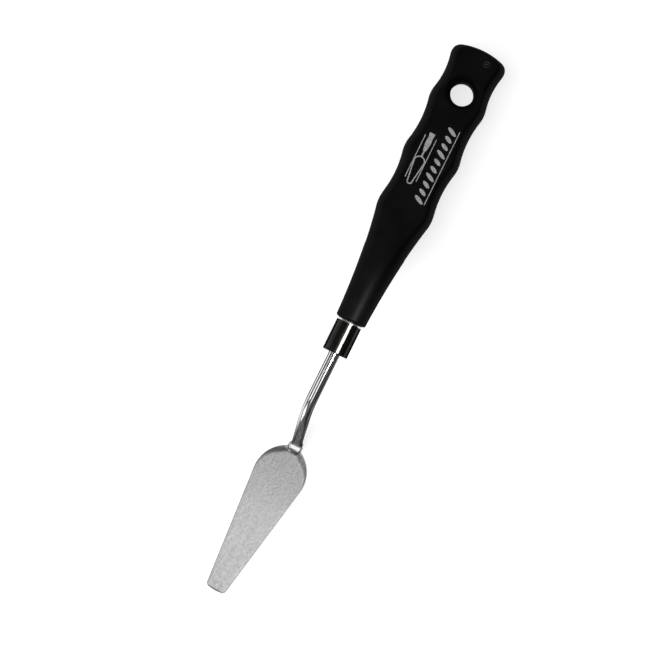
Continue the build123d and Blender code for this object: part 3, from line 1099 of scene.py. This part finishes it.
def weld_steel():
    """Dull heat-tinted weld metal."""
    s = Surface("weld_steel", Metallic=1.0)
    pits = s.noise(s.coordinates(), scale=3.2, detail=4)
    colour = s.blend(s.span(pits, (0.35, 0.65)), (0.16, 0.15, 0.145), (0.3, 0.29, 0.28))
    return s.finish(colour, s.span(pits, (0.3, 0.7), (0.4, 0.6)), [(pits, 0.05, 0.5)])


def bond_resin():
    """Cured dark amber resin."""
    s = Surface("bond_resin")
    cloud = s.noise(s.coordinates(), scale=0.9)
    colour = s.blend(s.span(cloud, (0.3, 0.7)), (0.035, 0.024, 0.013), (0.06, 0.043, 0.024))
    return s.finish(colour, s.span(cloud, (0.3, 0.7), (0.25, 0.4)), [(cloud, 0.05, 0.3)])


def print_ink():
    """Pale grey pad-printed ink, slightly thin in places."""
    s = Surface("print_ink")
    worn = s.noise(s.coordinates(), scale=2.6, detail=4, roughness=0.7)
    colour = s.blend(s.span(worn, (0.3, 0.6)), (0.12, 0.12, 0.125), (0.42, 0.42, 0.43))
    return s.finish(colour, s.span(worn, (0.3, 0.7), (0.45, 0.6)), [(worn, 0.01, 0.3)])


# Stage ----------------

def make_camera():
    """A camera straight over the knife, turned so that the knife leans across the picture."""
    right = Vector((-math.sin(LEAN), math.cos(LEAN), 0))
    up = Vector((-math.cos(LEAN), -math.sin(LEAN), 0))
    data = bpy.data.cameras.new("camera")
    data.sensor_width = SENSOR
    data.lens = SENSOR * VIEW_DISTANCE / VIEW_WIDTH
    data.clip_start, data.clip_end = 0.05, 20.0
    camera = bpy.data.objects.new("camera", data)
    place = Matrix((right, up, right.cross(up))).transposed().to_4x4()
    place.translation = Vector((*VIEW_CENTRE, VIEW_HEIGHT + VIEW_DISTANCE)) * MM
    camera.matrix_world = place
    bpy.context.scene.collection.objects.link(camera)
    bpy.context.scene.camera = camera


def floor_white():
    """White to the eye and in reflections, while its plain colour keeps the knife's shadow."""
    look = {"Base_Color": grey(FLOOR_GREY), "Roughness": 0.9, "Specular_IOR_Level": 0.0}
    s = Surface("floor_white", **look, Emission_Color=grey(1))
    path = s.add("ShaderNodeLightPath", {}).outputs
    seen = s.maths("MAXIMUM", path["Is Camera Ray"], path["Is Glossy Ray"])
    seen = s.maths("MAXIMUM", seen, path["Is Transmission Ray"])
    s.feed(s.shader["Emission Strength"], s.maths("MULTIPLY", seen, FLOOR_GLOW))
    return s.material


def make_floor():
    """A plain floor, which is only the stage."""
    corners = [(-1, -1, 0), (1, -1, 0), (1, 1, 0), (-1, 1, 0)]
    mesh = bpy.data.meshes.new("floor")
    mesh.from_pydata([Vector(corner) * FLOOR_REACH for corner in corners], [], [(0, 1, 2, 3)])
    floor = bpy.data.objects.new("floor", mesh)
    floor.location.z = FLOOR_LEVEL
    mesh.materials.append(floor_white())
    bpy.context.scene.collection.objects.link(floor)


def make_lamp(name, place, target, size, brightness, spread=180.0):
    """A rectangular lamp aimed at a target. Brightness is its face's radiance at full spread."""
    data = bpy.data.lights.new(name, "AREA")
    data.shape = "RECTANGLE"
    data.size, data.size_y = size
    data.energy = brightness * math.pi * size[0] * size[1]
    data.spread = math.radians(spread)
    lamp = bpy.data.objects.new(name, data)
    place, target = Vector(place), Vector(target)
    lamp.location = place
    lamp.rotation_euler = (place - target).to_track_quat("Z", "Y").to_euler()
    lamp.visible_camera = False
    bpy.context.scene.collection.objects.link(lamp)
    return lamp


def make_world():
    """A dim studio: a panel overhead, a wall on the left, one beyond the butt, a glow on the right."""
    world = bpy.data.worlds.new("studio")
    world.use_nodes = True
    bpy.context.scene.world = world
    tree = Tree(world.node_tree)
    axes = tree.axes(tree.add("ShaderNodeTexCoord", {}).outputs["Generated"])
    level = 0.0
    for axis, span, brightness in (
        ("Z", (0.955, 0.993), (0.0, CEILING - ROOM)),
        ("Y", (-0.95, -0.85), (WALL - ROOM, 0.0)),
        ("X", (-0.72, -0.5), (WALL - ROOM, 0.0)),
        ("Y", (0.02, 0.12), (ROOM, ROOM + GLOW_RIGHT)),
        ("Y", (0.2, 0.5), (0.0, ROOM_RIGHT - ROOM - GLOW_RIGHT)),
    ):
        level = tree.maths("ADD", tree.span(axes[axis], span, brightness), level)
    background = world.node_tree.nodes["Background"].inputs
    tree.feed(background["Color"], grey(1))
    tree.feed(background["Strength"], level)


def make_lights():
    """A soft key, which only lights diffuse surfaces, and three lamps for the metal to reflect."""
    make_world()
    key = make_lamp("key_left", (0.1, -0.5, 1.0), (0, 0, 0), size=(0.9, 0.9), brightness=2.6)
    key.visible_glossy = False
    ferrule = (0.0025, 0, 0.008)
    make_lamp("strip_ferrule", (0.0025, 0.0165, 0.068), ferrule, (0.017, 0.022), brightness=5.0, spread=60.0)
    make_lamp("card_shank", (0.03, -0.115, 0.104), (0.03, 0, 0.008), size=(0.032, 0.14), brightness=1.4)
    make_lamp("box_front", (0.55, -0.45, 0.5), (0, 0, 0), size=(0.5, 0.5), brightness=1.7)


# Making ----------------

bpy.context.scene.view_settings.view_transform = "Standard"
make_camera()
make_floor()
make_lights()
make_grip(black_plastic())
make_gate_mark(scuffed_plastic())
make_print(print_ink())
make_ferrule(plating(), plating_painted_highlight())
make_shank(drawn_steel())
make_weld(weld_steel())
make_blade(ground_steel())
frame["nodes"]["tang_bond"].data.materials.clear()
frame["nodes"]["tang_bond"].data.materials.append(bond_resin())
